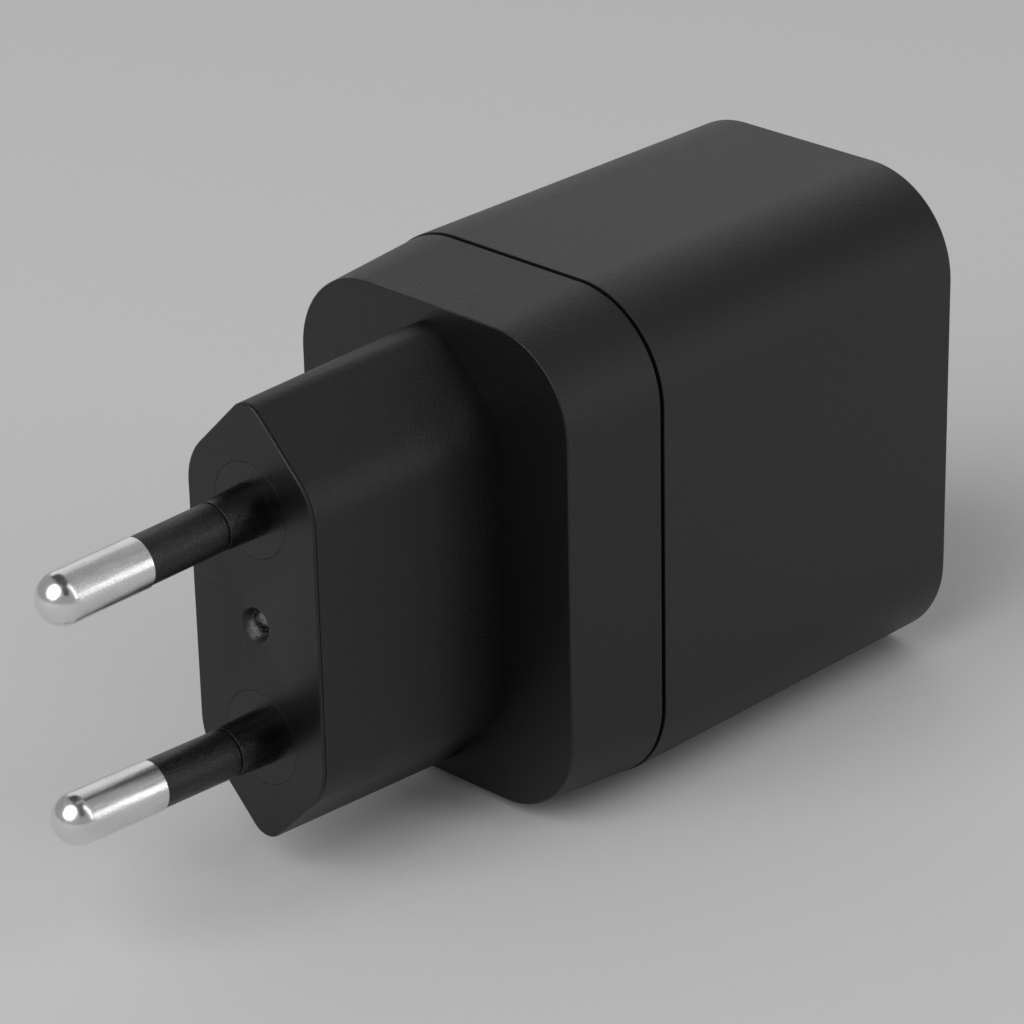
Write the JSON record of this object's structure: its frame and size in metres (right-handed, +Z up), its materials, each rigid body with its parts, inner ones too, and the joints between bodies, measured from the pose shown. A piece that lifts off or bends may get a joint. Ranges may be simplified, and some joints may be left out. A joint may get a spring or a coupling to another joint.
{
  "type": "usb wall charger",
  "caption": "Compact USB wall charger: a rounded black body with a chamfered two-pin plug nose at one end and USB-C and USB-A ports at the other.",
  "frame": {"origin": "centre of the plug's face, midway between the two pins where they leave it", "axes": "-Y is the way the pins point and +Y runs through the body to the USB face; +Z is up, along the line from the lower pin to the upper one; +X completes the right-handed frame, across the body's width"},
  "size_m": [0.0298, 0.0814, 0.041],
  "materials": {
    "shell_plastic": "fine spark-eroded matt black polycarbonate",
    "sleeve_plastic": "smooth satin black nylon",
    "nickel": "bright nickel plate on turned brass",
    "wire_red": "satin PVC insulation",
    "board": "green solder mask on glass fibre",
    "fuse_brown": "gloss lacquer",
    "disc_blue": "dipped epoxy",
    "film_yellow": "moulded box",
    "ferrite": "ground ferrite",
    "core_green": "epoxy-coated ferrite",
    "copper_wire": "enamelled copper wire",
    "bobbin": "moulded nylon",
    "tape_yellow": "polyester film tape",
    "can_aluminium": "drawn aluminium can",
    "can_sleeve": "shrink sleeve",
    "seal_rubber": "matt rubber",
    "chip_epoxy": "moulded epoxy",
    "coupler_white": "moulded epoxy",
    "tin": "tinned lead",
    "ceramic_tan": "fired ceramic",
    "resistor_black": "glazed film on ceramic",
    "spreader_aluminium": "rolled sheet",
    "pad_grey": "soft silicone",
    "film_black": "polyester film",
    "port_steel": "nickel-plated folded steel",
    "port_plastic": "moulded liquid-crystal polymer",
    "gold": "gold-plated spring contact"
  },
  "bodies": {
    "root": {"front_cover": "shell_plastic", "main_housing": "shell_plastic", "pin_upper": "nickel", "pin_lower": "nickel", "pin_sleeve_upper": "sleeve_plastic", "pin_sleeve_lower": "sleeve_plastic", "pin_bush_upper": "sleeve_plastic", "pin_bush_lower": "sleeve_plastic", "lead_wire_upper": "wire_red", "lead_wire_lower": "wire_red", "main_board": "board", "fuse": "fuse_brown", "varistor": "disc_blue", "x_capacitor": "film_yellow", "choke_core": "core_green", "choke_windings": "copper_wire", "choke_base": "bobbin", "bridge_rectifier": "chip_epoxy", "bulk_capacitor_cans": "can_aluminium", "bulk_capacitor_sleeves": "can_sleeve", "capacitor_seals": "seal_rubber", "transformer_core_upper": "ferrite", "transformer_core_lower": "ferrite", "transformer_bobbin": "bobbin", "transformer_winding": "copper_wire", "transformer_tape": "tape_yellow", "primary_controller": "chip_epoxy", "power_transistor": "chip_epoxy", "y_capacitor": "disc_blue", "optocoupler": "coupler_white", "sync_rectifier": "chip_epoxy", "protocol_controller": "chip_epoxy", "output_capacitor_cans": "can_aluminium", "chip_leads": "tin", "component_leads": "tin", "chip_capacitors": "ceramic_tan", "chip_resistors": "resistor_black", "heat_spreader": "spreader_aluminium", "thermal_pad": "pad_grey", "insulating_sheet": "film_black", "usb_a_shell": "port_steel", "usb_a_insulator": "port_plastic", "usb_a_contacts": "gold", "usb_c_shell": "port_steel", "usb_c_insulator": "port_plastic", "usb_c_contacts": "gold"}
  },
  "joints": []
}
